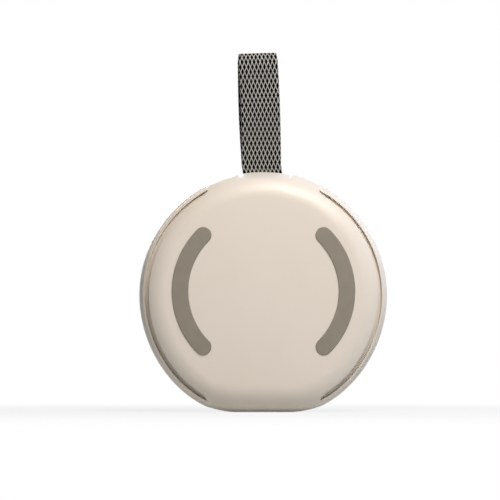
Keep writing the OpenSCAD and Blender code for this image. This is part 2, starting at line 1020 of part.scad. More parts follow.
// The metal shell of a charging socket, a stadium in section, with its tongue inside
module usb_socket()
    color(metal_colour)
        stand()
            translate([r0 - 0.5 - usb_l, 0, usb_z + usb_t + usb_h / 2])
                rotate([90, 0, 90]) {
                    difference() {
                        linear_extrude(usb_l)
                            stadium(usb_w, usb_h);
                        translate([0, 0, 0.6])
                            linear_extrude(usb_l)
                                stadium(usb_w - 0.7, usb_h - 0.7);
                    }
                    translate([-3.3, -0.35, 0.3])
                        cube([6.6, 0.7, usb_l - 1.1]);
                }

module stadium(w, h) {
    square([w - h, h], center = true);
    for (side = [-1, 1])
        translate([side * (w - h) / 2, 0])
            circle(d = h, $fn = 48);
}

module usb_cut()
    translate([r0 - 4, 0, usb_z + usb_t + usb_h / 2])
        rotate([90, 0, 90])
            linear_extrude(5)
                stadium(usb_w + 0.5, usb_h + 0.5);

module battery_pack()
    color("#8FA3B5")
        stand()
            plate(battery_l, battery_w, inner_floor + tape_t, inner_floor + tape_t + battery_t, 2);

module battery_tape()
    color("#F2F2EE")
        stand()
            plate(battery_l - 10, battery_w - 10, inner_floor, inner_floor + tape_t);

module battery_leads()
    color("#B3261E")
        stand()
            for (side = [0, 1])
                lead([
                    [battery_l / 2 + 0.15, -10 - 2 * side, inner_floor + tape_t + battery_t - 2],
                    [battery_l / 2 + 9, -10 - 2 * side, inner_floor + tape_t + battery_t - 2],
                    [battery_l / 2 + 12, -8 - 2 * side, board_top + 2],
                    [lead_x, -8 - 2 * side, board_top + 2]
                ], lead_d);

module speaker_leads()
    color("#2B2B2B")
        stand()
            for (side = [0, 1])
                lead([
                    [-28.2, 12 - 2.4 * side, flange_back - 4.4],
                    [-33, 12 - 2.4 * side, flange_back - 9],
                    [-34, 10 - 2 * side, board_top + 2],
                    [-lead_x, 10 - 2 * side, board_top + 2]
                ], lead_d);

module usb_leads()
    color("#2B2B2B")
        stand()
            for (side = [0, 1])
                lead([
                    [usb_post[0] - 3.75, 1 - 2 * side, usb_z + 0.6],
                    [40, 1 - 2 * side, usb_z + 0.6],
                    [40, -7 - 2 * side, board_top + 3.2],
                    [lead_x, -7.6 - 2 * side, board_top + 3.2]
                ], 1);

// Flat ribbon between the main board and the control board
module key_ribbon() {
    bend_y = ribbon_y - 9;
    foot = [ribbon_y, board_top + 1];
    bend = [bend_y, board_top + 1];
    top = [bend_y, key_board_z];
    color("#D8D2C2")
        stand()
            across(10)
                polygon([
                    foot, bend + [0.3, 0], top + [0.3, 0], top - [0.3, 0],
                    bend + [-0.3, -0.6], foot - [0, 0.6]
                ]);
}

module case_screws()
    color(metal_colour)
        stand()
            at_case_screws()
                translate([0, 0, head_seat])
                    screw(screw_d, screw_l, head_d, head_t);

// ---------------------------------------------------------------- rest pads

// An arc of silicone with round ends and a softened edge
module rest_pad(side) {
    back = rear_face - pad_proud;
    color(pad_colour)
        stand()
            pad_side(side) {
                rotate_extrude(angle = 2 * pad_turn, start = -pad_turn)
                    translate([pad_r, 0])
                        for (half = [0, 1])
                            mirror([half, 0])
                                rounded_section(pad_w / 2, back, back + pad_t, 0.4);
                for (turn = [-pad_turn, pad_turn])
                    rotate(turn)
                        translate([pad_r, 0])
                            rotate_extrude()
                                rounded_section(pad_w / 2 - step, back, back + pad_t, 0.4);
            }
}

module rear_pad_left()
    rest_pad(1);

module rear_pad_right()
    rest_pad(0);

// ---------------------------------------------------------------- strap

// Points of a drop in height and depth: a small round foot, straight sides and a round head
function drop_points(foot_r, head_r, steps = 24) = [
    for (i = [0 : steps])
        let (turn = 90 + open_turn + i * (180 - 2 * open_turn) / steps)
        [pivot_y + foot_r * cos(turn), foot_r * sin(turn)],
    for (i = [0 : steps])
        let (turn = i * (180 + 2 * open_turn) / steps - 90 - open_turn)
        [top_y + head_r * cos(turn), head_r * sin(turn)]
];

// Leans what stands on the strap's turning axis to the side
module leaned()
    translate([strap_shift, pivot_y, part_z])
        rotate(-strap_lean)
            translate([0, -pivot_y, 0])
                children();

module strap_loop()
    color("#585754")
        stand()
            leaned()
                across(strap_w)
                    difference() {
                        union() {
                            polygon(drop_points(webbing_t - step, top_r));
                            translate([pivot_y, 0])
                                circle(webbing_t);
                        }
                        polygon(drop_points(0.05, top_r - webbing_t));
                    }

// The ends of the webbing, clamped in the slot and sewn round the pin
module strap_tail()
    color("#4A4946")
        stand()
            difference() {
                translate([strap_shift, 0, part_z])
                    across(strap_w)
                        difference() {
                            union() {
                                translate([pin_y, 0])
                                    circle(pin_d / 2 + 0.1 + webbing_t);
                                translate([pin_y, -webbing_t])
                                    square([pivot_y - pin_y, 2 * webbing_t]);
                            }
                            translate([pin_y, 0])
                                circle(pin_d / 2 + 0.1);
                        }
                leaned()
                    translate([0, pivot_y - webbing_t - 0.2 + 5, 0])
                        cube([strap_w + 4, 10, 6 * webbing_t], center = true);
            }

module strap_pin()
    color(metal_colour)
        stand()
            translate([0, pin_y, part_z])
                rotate([0, 90, 0])
                    cylinder(d = pin_d, h = 2 * pin_out, center = true);

rear_shell();
front_shell();
front_panel();
light_ring();
speaker_grille();
grille_cloth();
power_key();
timer_key();
light_key();
sound_key();
volume_dial();
dial_shaft();
dial_encoder();
key_board();
key_switches();
key_board_screws();
light_board();
light_leds();
speaker_gasket();
speaker_basket();
speaker_surround();
speaker_spider();
speaker_cone();
dust_cap();
coil_former();
voice_coil();
magnet_top_plate();
ring_magnet();
magnet_yoke();
speaker_terminals();
speaker_screws();
main_board();
board_chips();
board_capacitors();
board_connectors();
board_screws();
usb_board();
usb_socket();
battery_pack();
battery_tape();
battery_leads();
speaker_leads();
usb_leads();
key_ribbon();
case_screws();
rear_pad_left();
rear_pad_right();
strap_loop();
strap_tail();
strap_pin();
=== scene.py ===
import json
import math

import bmesh
import bpy
import numpy as np
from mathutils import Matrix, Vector


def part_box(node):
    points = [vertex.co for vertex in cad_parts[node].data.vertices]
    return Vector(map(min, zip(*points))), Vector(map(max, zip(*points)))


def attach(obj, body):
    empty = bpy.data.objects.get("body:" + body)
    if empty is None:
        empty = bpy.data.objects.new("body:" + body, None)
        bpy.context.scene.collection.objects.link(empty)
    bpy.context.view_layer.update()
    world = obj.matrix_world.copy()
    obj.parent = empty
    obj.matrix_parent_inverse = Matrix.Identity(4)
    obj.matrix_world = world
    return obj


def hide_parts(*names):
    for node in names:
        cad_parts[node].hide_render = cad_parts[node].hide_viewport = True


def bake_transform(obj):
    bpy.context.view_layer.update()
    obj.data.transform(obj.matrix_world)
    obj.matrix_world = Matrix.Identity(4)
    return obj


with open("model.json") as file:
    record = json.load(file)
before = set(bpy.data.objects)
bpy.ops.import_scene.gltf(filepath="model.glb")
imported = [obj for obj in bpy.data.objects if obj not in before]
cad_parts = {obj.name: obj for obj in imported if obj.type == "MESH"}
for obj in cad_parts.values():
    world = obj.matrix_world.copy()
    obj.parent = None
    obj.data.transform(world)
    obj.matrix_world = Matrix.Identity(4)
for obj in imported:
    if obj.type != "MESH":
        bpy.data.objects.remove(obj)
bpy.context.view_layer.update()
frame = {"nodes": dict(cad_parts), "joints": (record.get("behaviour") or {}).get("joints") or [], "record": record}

# A portable white noise machine seen from behind: beige moulded shells, two silicone rest pads,
# a webbing carry loop, and in front a perforated grille, a light ring, four keys and a dial.
# Lengths are in metres, x to the right as seen from its front, y to the back, z up.

mm = 0.001
rearLow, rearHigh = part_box("rear_shell")
grilleLow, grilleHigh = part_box("speaker_grille")
panelLow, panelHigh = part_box("front_panel")
dialLow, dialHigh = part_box("volume_dial")
padLow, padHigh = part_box("rear_pad_right")
pinLow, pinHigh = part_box("strap_pin")
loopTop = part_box("strap_loop")[1].z
foldSpot = next(j for j in frame["joints"] if j["name"] == "loop_fold")["pos_m"]


def addToScene(name, data):
    # An object at the origin with the given data.
    obj = bpy.data.objects.new(name, data)
    bpy.context.scene.collection.objects.link(obj)
    return obj


def aimObject(obj, spot, toward):
    # Puts a camera or lamp at a spot and turns its own -z axis along a direction.
    obj.location = spot
    obj.rotation_mode = "QUATERNION"
    obj.rotation_quaternion = toward.to_track_quat("-Z", "Y")


camera = dict(
    azimuth=179.35,         # degrees, 180 looks squarely at the back
    elevation=-2.2,
    distance=1.5,
    target=(6.25 * mm, 0.0, 78.9 * mm),
    width=244.1 * mm,       # what the image spans at the target
    sensor=36.0,
    clip=(0.01, 20),
)


def makeCamera(spec):
    # Stands back from its target along the direction that the two angles give. The lens is the
    # sensor's width times the distance over the width that the image spans.
    turn, rise = math.radians(spec["azimuth"]), math.radians(spec["elevation"])
    back = Vector((
        math.sin(turn) * math.cos(rise), -math.cos(turn) * math.cos(rise), math.sin(rise)))
    data = bpy.data.cameras.new("camera")
    data.sensor_width = spec["sensor"]
    data.lens = spec["sensor"] * spec["distance"] / spec["width"]
    data.clip_start, data.clip_end = spec["clip"]
    obj = addToScene("camera", data)
    aimObject(obj, Vector(spec["target"]) + back * spec["distance"], -back)
    bpy.context.scene.camera = obj


makeCamera(camera)
print("camera made")

merging = dict(
    doubles=2e-7,           # metres within which points become one
    degenerate=1e-8,        # length below which an edge is dropped
)


def linear(code):
    # An sRGB hex value as linear red, green and blue, with full alpha.
    values = [int(code[i:i + 2], 16) / 255 for i in (1, 3, 5)]
    return [v / 12.92 if v <= 0.04045 else ((v + 0.055) / 1.055) ** 2.4 for v in values] + [1.0]


def smooth(t):
    # Three times t squared less two times t cubed, for t held between 0 and 1.
    t = np.clip(t, 0.0, 1.0)
    return t * t * (3 - 2 * t)


def gridQuads(index, ring, tube):
    # Faces between neighbours in an array of point numbers. A ring's last row meets its first,
    # and a tube's last column its first.
    a, b = (index, np.roll(index, -1, axis=0)) if ring else (index[:-1], index[1:])
    if tube:
        quads = np.stack([a, b, np.roll(b, -1, axis=1), np.roll(a, -1, axis=1)], axis=-1)
    else:
        quads = np.stack([a[:, :-1], b[:, :-1], b[:, 1:], a[:, 1:]], axis=-1)
    return quads.reshape(-1, 4)


def meshObject(name, mesh, carrier, sharp):
    # Merges doubles, turns the faces outwards and shades them smooth, apart from edges that bend
    # by more than the sharp angle in degrees. The piece rides on its carrier, if it has one.
    work = bmesh.new()
    work.from_mesh(mesh)
    bmesh.ops.remove_doubles(work, verts=work.verts, dist=merging["doubles"])
    bmesh.ops.dissolve_degenerate(work, dist=merging["degenerate"], edges=work.edges)
    bmesh.ops.recalc_face_normals(work, faces=work.faces)
    work.to_mesh(mesh)
    work.free()
    mesh.shade_smooth()
    mesh.set_sharp_from_angle(angle=math.radians(sharp))
    obj = addToScene(name, mesh)
    if carrier:
        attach(obj, carrier)
    return obj


def gridObject(name, points, carrier, sharp, uv=None):
    # A surface from an array of points [u, v, xyz] that is closed along u. It is closed along v
    # where a whole row of points meets in one.
    index = np.arange(points.shape[0] * points.shape[1]).reshape(points.shape[:2])
    quads = gridQuads(index, ring=True, tube=False)
    mesh = bpy.data.meshes.new(name)
    mesh.from_pydata(points.reshape(-1, 3).tolist(), [], quads.tolist())
    if uv is not None:
        layer = mesh.uv_layers.new(name="weave")
        layer.data.foreach_set("uv", uv[quads.reshape(-1)].astype(np.float32).ravel())
    return meshObject(name, mesh, carrier, sharp)


# the outline of the body, as seen from the front, and the shell's section
body = dict(
    radius=rearHigh.x,
    middle=(grilleLow.z + grilleHigh.z) / 2,
    cornerRadius=36 * mm,   # soft corners beside the flat base
    backY=rearHigh.y,
    partY=rearLow.y,
    shoulder=13 * mm,
    wall=2.2 * mm,
    partEdge=(0.07 * mm, 0.25 * mm),    # rounding of the parting edge, at its middle and whole
    partRow=0.3 * mm,       # depth of the row that keeps that edge's shading off the wall
    fullness=0.7 * mm,      # that the shell swells by beside the base, towards its back
    fullAt=-55.0,           # degrees below the sideways axis
    fullSpread=16.0,
    fullRise=4 * mm,        # height over which the swelling sets in
    fullReach=7 * mm,       # depth behind the parting line over which it sets in
    bearings=(-64, 244, 0.62),      # degrees round the rim, and the step between sections
    closeBearing=0.9,       # degrees beside an edge of the recess where sections are close
    closeCount=15,
)


def outline(rimAngles, cornerSteps=26, baseSteps=14):
    # Points and outward directions round the body: the rim's arc at the given angles, a soft
    # corner, the flat base and the other soft corner. Each point is its arc's middle plus the
    # radius times the direction.
    r, rc, drop = body["radius"], body["cornerRadius"], body["middle"]
    cornerX = math.sqrt((r - rc) ** 2 - (drop - rc) ** 2)
    cornerZ = rc - drop
    turn = math.degrees(math.atan2(cornerX, -cornerZ))
    rim = rimAngles[(rimAngles > turn - 90) & (rimAngles < 270 - turn)]
    left = np.linspace(270 - turn, 270, cornerSteps)
    right = np.linspace(270, 270 + turn, cornerSteps)
    flat = np.linspace(-cornerX, cornerX, baseSteps)[1:-1]
    angle = np.radians(np.concatenate([rim, left, 0 * flat + 270, right]))
    midX = np.concatenate([0 * rim, 0 * left - cornerX, flat, 0 * right + cornerX])
    midZ = np.concatenate([0 * rim, 0 * left + cornerZ, 0 * flat + cornerZ, 0 * right + cornerZ])
    radius = np.concatenate([0 * rim + r, 0 * left + rc, 0 * flat + rc, 0 * right + rc])
    way = np.stack([np.cos(angle), np.sin(angle)], axis=-1)
    return np.stack([midX, midZ], axis=-1) + radius[:, None] * way, way


def place(flatPoint, depth):
    # Puts points of the outline's plane at their depth in the machine.
    x, z = flatPoint[..., 0], flatPoint[..., 1]
    return np.stack([x, depth + 0 * x, z + body["middle"]], axis=-1)


def around(angles, spots, width, count):
    # Adds evenly spaced samples within a width of each spot, so that an edge there stays crisp.
    extra = [np.linspace(s - width, s + width, count) for s in spots]
    return np.unique(np.round(np.concatenate([angles] + extra), 5))


groove = dict(
    inner=4.75 * mm,        # inset of its inner edge from the rim
    outer=2.85 * mm,
    depth=2.5 * mm,
    halfTurn=61.5,          # degrees to both sides of the sideways axis
    taper=6.0,              # degrees over which an end narrows to its tip
    tipDepth=0.45,          # share of its depth that it has at a tip
    tipWidth=0.02,          # share of its width that stays past a tip, to keep its columns apart
    fadePast=1.5,           # degrees past a tip where bead and seam have ended
    fadeOver=2.5,           # degrees over which they fade
    edge=0.08 * mm,         # half the width of an edge
    beside=0.5 * mm,        # from the inner edge to where the close columns start
    beadRise=0.4 * mm,
    seamInset=1.15 * mm,
    seamDepth=0.7 * mm,
    seamWidth=0.75 * mm,
    seamSpread=0.55,        # spread of its bell curve, as a share of that width
)
recess = dict(
    halfWidth=14.2 * mm,
    shelf=4.1 * mm,         # inset where the shelf leaves the shoulder
    drop=3.8 * mm,          # that the shelf lies below the shoulder's line at the rim
    shelfPower=1.3,         # above 1 the shelf sets in gently
    ramps=(0.9 * mm, 2.2 * mm),     # widths of its end walls, at -x and at +x
    lipY=5.6 * mm,
    lipRound=0.12 * mm,
    floor=2.3 * mm,         # depth of the channel below the rim
    slotHalf=11.0 * mm,
    slotEnd=0.3 * mm,       # width over which an end of the slot steps up
    slotStep=0.1 * mm,      # from the lip to the slot's front edge
)


def rearShell():
    # Sections carried round the outline. A section runs from the middle of the back outwards over
    # the flat, the round shoulder with its groove, bead and seam, down the rim to the parting line,
    # and back inside at the wall's thickness. Each of its points is the outline moved in by an
    # inset, at a depth that is a quarter circle over the shoulder.
    wallTurn = math.degrees(math.asin(recess["halfWidth"] / body["radius"]))
    slotTurn = math.degrees(math.asin(recess["slotHalf"] / body["radius"]))
    edges = [90 - wallTurn, 90 + wallTurn, 90 - slotTurn, 90 + slotTurn]
    angles = around(np.arange(*body["bearings"]), edges, body["closeBearing"], body["closeCount"])
    rim, way = outline(angles)
    x = rim[:, 0]
    bearing = np.degrees(np.arctan2(rim[:, 1], np.abs(x)))
    top = rim[:, 1] > 0

    # how much there is of groove, recess, slot and swelling at each place round the outline
    toTip = groove["halfTurn"] - np.abs(bearing)
    share = np.clip(toTip / groove["taper"], 0, 1)
    share = np.sqrt(1 - (1 - share) ** 2)
    present = smooth((toTip + groove["fadePast"]) / groove["fadeOver"])
    ramp = np.where(x < 0, *recess["ramps"])
    notch = np.where(top, smooth((recess["halfWidth"] - np.abs(x)) / ramp), 0)
    toEnd = recess["slotHalf"] - np.abs(x)
    inSlot = np.where(top, smooth(toEnd / recess["slotEnd"] + 0.5), 0)
    above = rim[:, 1] + body["middle"]
    full = np.exp(-0.5 * ((bearing - body["fullAt"]) / body["fullSpread"]) ** 2)
    full = body["fullness"] * full * smooth(above / body["fullRise"])

    r = body["shoulder"]
    centreY = body["backY"] - r
    e, beside = groove["edge"], groove["beside"]
    outerEdge = groove["outer"]
    innerEdge = outerEdge + (groove["inner"] - outerEdge) * np.maximum(share, groove["tipWidth"])
    s0, sw = groove["seamInset"], groove["seamWidth"] / 2

    # insets across the shoulder, from its start to the rim: columns that follow the groove's two
    # edges, the bead between groove and seam, the seam, and the last of the shoulder
    columns = [r + (innerEdge + beside - r) * t for t in np.linspace(0, 1, 16)[:-1]]
    columns += [innerEdge + step for step in (beside, beside / 2, e, 0.3 * e, -0.3 * e, -e)]
    columns += [innerEdge - e + (outerEdge + 2 * e - innerEdge) * t for t in (0.35, 0.7)]
    columns += [outerEdge + step for step in (e, 0.3 * e, -0.3 * e, -e)]
    columns += [outerEdge - e + (s0 + sw - outerEdge + e) * t for t in np.linspace(0.2, 0.85, 5)]
    columns += [s0 + step for step in (sw, 0.6 * sw, 0.0, -0.6 * sw, -sw)]
    columns += [(s0 - sw) * (1 - t) for t in (0.2, 0.4, 0.6, 0.8, 0.92, 1.0)]
    inset = np.minimum.accumulate(np.stack([c + 0 * x for c in columns], axis=1), axis=1)
    depth = centreY + np.sqrt(np.maximum(r * r - (r - inset) ** 2, 0))

    # the groove is cut straight from behind, the bead and the seam stand along the normal
    wallUp = smooth((inset - outerEdge + e) / (2 * e))
    wallUp = wallUp * smooth((innerEdge[:, None] + e - inset) / (2 * e))
    deep = groove["depth"] * (groove["tipDepth"] + (1 - groove["tipDepth"]) * share)
    bead = np.clip((outerEdge - inset) / (outerEdge - s0), 0, 1)
    seam = np.exp(-((inset - s0) / (groove["seamSpread"] * groove["seamWidth"])) ** 2)
    raised = groove["beadRise"] * np.sin(np.pi * bead) - groove["seamDepth"] * seam
    raised = raised * present[:, None]
    outward = np.clip((r - inset) / r, 0, 1)
    depth = depth - (deep * present)[:, None] * wallUp + raised * np.sqrt(1 - outward ** 2)

    # in front of the loop the shoulder falls away to a steeper shelf
    shelf = np.clip(1 - inset / recess["shelf"], 0, 1) ** recess["shelfPower"]
    depth = depth - recess["drop"] * shelf * notch[:, None]
    inset = inset - raised * outward

    # down the rim to the lip, into the channel, round the parting edge, and up the inner face
    lip = recess["lipY"]
    part = body["partY"] + (lip - recess["slotStep"] - body["partY"]) * inSlot
    partMiddle, partWhole = body["partEdge"]
    start = depth[:, -1]
    channel = recess["floor"] * notch
    inner = body["wall"] + channel
    ri = r - body["wall"]
    rows = [(start + (lip - start) * t, 0) for t in (0.25, 0.5, 0.75, 0.97)]
    rows += [
        (lip, recess["lipRound"] * notch),
        (lip, channel),
        (part + partWhole * (1 - notch), channel),
        (part + partMiddle * (1 - notch), channel + partMiddle),
        (part, channel + partWhole),
        (part, inner),
        (part + body["partRow"], inner),
        (centreY, inner),
    ]
    rows += [(centreY + ri * math.sin(turn), np.maximum(inner, r - ri * math.cos(turn)))
             for turn in np.radians(np.linspace(12, 90, 8))]
    rowDepths, rowInsets = zip(*rows)
    depth = np.concatenate([depth, np.stack([d + 0 * x for d in rowDepths], axis=1)], axis=1)
    inset = np.concatenate([inset, np.stack([i + 0 * x for i in rowInsets], axis=1)], axis=1)
    swell = full[:, None] * smooth((depth - body["partY"]) / body["fullReach"])
    shell = place(rim[:, None] - (inset - swell)[..., None] * way[:, None], depth)

    # the flats run straight from the shoulder's start to the middle
    hub = place(np.zeros_like(rim), body["backY"])
    t = np.linspace(0, 1, 12)[:-1, None, None]
    outerFlat = np.moveaxis(hub + (shell[:, 0] - hub) * t, 0, 1)
    hub = place(np.zeros_like(rim), body["backY"] - body["wall"])
    t = np.linspace(0, 1, 7)[::-1][1:, None, None]
    innerFlat = np.moveaxis(hub + (shell[:, -1] - hub) * t, 0, 1)
    points = np.concatenate([outerFlat, shell, innerFlat], axis=1)
    obj = gridObject("rearShell", points, "housing", sharp=38)
    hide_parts("rear_shell")
    return obj


rear = rearShell()
print("rear shell made")

pads = dict(
    radius=37.9 * mm,
    halfWidth=4 * mm,
    halfTurn=45.0,
    apart=2.2 * mm,         # sideways, of each arc's centre from the machine's middle
    lift=1.7 * mm,
    edge=0.45 * mm,
    crown=0.06 * mm,
    side=0.8 * mm,          # depth of the row that keeps the edge's shading off the side
    thickness=padHigh.y - padLow.y,
)


def restPad(name, node, side):
    # Curves at a growing distance from the pad's middle arc, with a half circle round each end.
    # Their height is nearly flat, with a slight crown, and falls in a quarter circle at the edge.
    r, half = pads["radius"], math.radians(pads["halfTurn"])
    along = np.linspace(-half, half, 91)
    cap = np.linspace(0, math.pi, 25)[1:-1]
    # arc's middle point, and the direction away from the arc, for one closed way round it
    mid = np.concatenate([along, np.full(cap.size, half), along[::-1], np.full(cap.size, -half)])
    lean = np.concatenate([0 * along, cap, np.full(along.size, math.pi), math.pi + cap])
    centre = r * np.stack([np.cos(mid), np.sin(mid)], axis=-1)
    away = np.stack([np.cos(mid + lean), np.sin(mid + lean)], axis=-1)
    w, e, thickness = pads["halfWidth"], pads["edge"], pads["thickness"]
    turn = np.linspace(0, math.pi / 2, 7)
    reach = np.concatenate([[0, 0.25 * w, 0.5 * w, 0.75 * w], w - e + e * np.sin(turn), [w, w, 0]])
    fall = np.concatenate([np.zeros(4), e - e * np.cos(turn), [pads["side"]], [thickness] * 2])
    crown = pads["crown"] * (reach / w) ** 2 * (fall < thickness)
    depth = padHigh.y - np.maximum(fall, crown)
    flat = centre[:, None] + away[:, None] * reach[None, :, None] + (pads["apart"], pads["lift"])
    flat[..., 0] *= side
    obj = gridObject(name, place(flat, depth[None, :]), "housing", sharp=50)
    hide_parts(node)
    return obj


padRight = restPad("restPadRight", "rear_pad_right", 1)
padLeft = restPad("restPadLeft", "rear_pad_left", -1)
print("rest pads made")

webbing = dict(
    width=19.15 * mm,
    thickness=1.25 * mm,
    pitch=1.95 * mm,        # of the diamonds, across the webbing
    rise=4.65 * mm,         # of the diamonds, along it
    relief=0.075 * mm,
    selvedge=0.8 * mm,      # width over which the relief fades at each edge
    foot=Vector(foldSpot),
    pinGap=0.1 * mm,        # between the pin and the webbing
    neckFrom=1.2 * mm,      # height above the pin where its wrap ends
    neckTo=3 * mm,          # height above the pin where the two runs have met
    headRadius=6 * mm,
    headRise=loopTop - foldSpot[2] - 5.6 * mm,  # of the round head's centre above the foot
    headFrom=0.92,          # share of the height above which the head narrows
    headNarrower=0.035,     # share of the width that it loses there
    aside=0.55 * mm,        # sideways shift of the loop above its slot
    asideReach=3 * mm,      # it sets in from this far below the foot to this far above
    lean=2.0 * mm,          # further shift at its head, growing as the square of the height
    tilt=0.03,              # slope of the head's top edge
    slack=1.0 * mm,         # how far the front run hangs out at half height
    slackFade=3 * mm,       # depth over which that fades to the rear run
    slackMiddle=0.3,        # how far it has come at the loop's middle, between 0 and 1
    bend=1.6 * mm,          # the foot bends from this far below the hinge to this far above
    across=58,
    along=470,
    softening=6,            # passes that round the corners of the middle line
)


def loopPath():
    # The webbing's middle line in depth and height: round the pin, up the doubled foot, up the
    # front run and over the round head. The way down behind is its mirror image.
    t, foot = webbing["thickness"], webbing["foot"]
    pinY, pinZ = (pinLow.y + pinHigh.y) / 2, (pinLow.z + pinHigh.z) / 2
    pinRound = (pinHigh.z - pinLow.z) / 2 + webbing["pinGap"] + t / 2
    headRound = webbing["headRadius"] - t / 2
    headZ = foot.z + webbing["headRise"]
    spread = math.asin((headRound - t / 2) / webbing["headRise"])
    turn = np.radians(np.linspace(-90, 0, 14))
    wrap = np.stack([pinY - pinRound * np.cos(turn), pinZ + pinRound * np.sin(turn)], axis=-1)
    neckZ = np.linspace(pinZ + webbing["neckFrom"], foot.z, 12)
    ease = 1 - smooth((neckZ - pinZ) / webbing["neckTo"])
    neck = np.stack([foot.y - t / 2 - (pinRound - t / 2) * ease, neckZ], axis=-1)
    turn = np.linspace(-spread, math.pi / 2, 40)
    head = np.stack([foot.y - headRound * np.cos(turn), headZ + headRound * np.sin(turn)], axis=-1)
    run = np.linspace(neck[-1], head[0], 42)[1:-1]
    front = np.concatenate([wrap, neck, run, head])
    back = front[-2::-1] * (-1, 1) + (2 * foot.y, 0)
    return np.concatenate([front, back])


def evenly(path, count):
    # The same line with points at even steps of its length, and the length up to each.
    steps = np.linalg.norm(np.diff(path, axis=0), axis=1)
    way = np.concatenate([[0], np.cumsum(steps)])
    at = np.linspace(0, way[-1], count)
    return np.stack([np.interp(at, way, path[:, k]) for k in (0, 1)], axis=-1), at


def carryLoop():
    # A flat section carried along the loop. The section is a slab with round edges, and its faces
    # rise along two crossing sets of diagonal threads and sink in the diamonds between them.
    path, at = evenly(loopPath(), webbing["along"])
    for _ in range(webbing["softening"]):
        path[1:-1] = (path[:-2] + 2 * path[1:-1] + path[2:]) / 4
    path, at = evenly(path, webbing["along"])
    tangent = np.gradient(path, axis=0)
    tangent /= np.linalg.norm(tangent, axis=1)[:, None]
    normal = np.stack([tangent[:, 1], -tangent[:, 0]], axis=-1)    # away from the loop's inside

    # round the section: outer face, edge, inner face, edge
    w, t, n = webbing["width"], webbing["thickness"], webbing["across"]
    side = np.linspace(-1, 1, n)
    edge = np.linspace(0, math.pi, 7)[1:-1]
    half = t / 2
    flatHalf = w / 2 - half
    u = np.concatenate([flatHalf * side, flatHalf + half * np.sin(edge),
                        flatHalf * side[::-1], -flatHalf - half * np.sin(edge)])
    v = np.concatenate([np.full(n, half), half * np.cos(edge),
                        np.full(n, -half), -half * np.cos(edge)])
    face = np.concatenate([np.ones(n), 0 * edge, -np.ones(n), 0 * edge])
    face = face * smooth((w / 2 - np.abs(u)) / webbing["selvedge"])
    a = u[None, :] / webbing["pitch"]
    b = at[:, None] / webbing["rise"]
    thread = np.maximum(np.cos(2 * np.pi * (a + b)), np.cos(2 * np.pi * (a - b)))
    ply = v[None, :] + webbing["relief"] * thread * face[None, :]
    depth = path[:, None, 0] + normal[:, None, 0] * ply
    height = path[:, None, 1] + normal[:, None, 1] * ply

    # sideways, above the slot: the loop leans more and more, and its front run hangs out
    foot, reach, headFrom = webbing["foot"], webbing["asideReach"], webbing["headFrom"]
    share = np.clip((height - foot.z) / (webbing["headRise"] + webbing["headRadius"]), 0, 1)
    front = smooth((foot.y - depth) / webbing["slackFade"] + webbing["slackMiddle"])
    narrower = webbing["headNarrower"] * smooth((share - headFrom) / (1 - headFrom))
    px = foot.x + u[None, :] * (1 - narrower)
    px = px + webbing["aside"] * smooth((height - foot.z + reach) / (2 * reach))
    px = px + webbing["lean"] * share ** 2 + webbing["slack"] * np.sin(np.pi * share) * front
    pz = height - webbing["tilt"] * u[None, :] * share
    points = np.stack([px, depth, pz], axis=-1)
    uv = np.stack(np.broadcast_arrays(u[None, :], at[:, None]), axis=-1) / mm

    # each end is closed by one more section, all of it at the end's middle
    first, last = [np.broadcast_to(points[k].mean(axis=0), (1,) + points[k].shape) for k in (0, -1)]
    points = np.swapaxes(np.concatenate([first, points, last]), 0, 1)
    uv = np.swapaxes(np.concatenate([uv[:1], uv, uv[-1:]]), 0, 1).reshape(-1, 2)
    obj = gridObject("carryWebbing", points, None, sharp=60, uv=uv)
    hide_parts("strap_loop", "strap_tail")
    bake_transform(obj)
    return obj


loop = carryLoop()
print("carry loop made")

# signs on the keys, and the scale round the dial
prints = dict(
    width=0.5 * mm,         # of a stroke
    height=0.1 * mm,
    sunk=0.05 * mm,         # how deep a stroke's underside lies in its carrier
    dialGap=0.8 * mm,       # between the dial and its scale
    tick=1.1 * mm,
    ticks=9,
    sweep=120.0,            # degrees that the scale reaches to both sides of its top
)


def arc(radius, start, end, count=40, middle=(0, 0)):
    # Points of a circle round its middle, from one angle in degrees to another.
    turn = np.radians(np.linspace(start, end, count))
    return np.stack([middle[0] + radius * np.cos(turn), middle[1] + radius * np.sin(turn)], axis=-1)


def line(*corners, count=6):
    # Straight sides from corner to corner, each with even steps.
    path = np.array(corners, float)
    sides = [np.linspace(a, b, count)[:-1] for a, b in zip(path[:-1], path[1:])]
    return np.concatenate(sides + [path[-1:]])


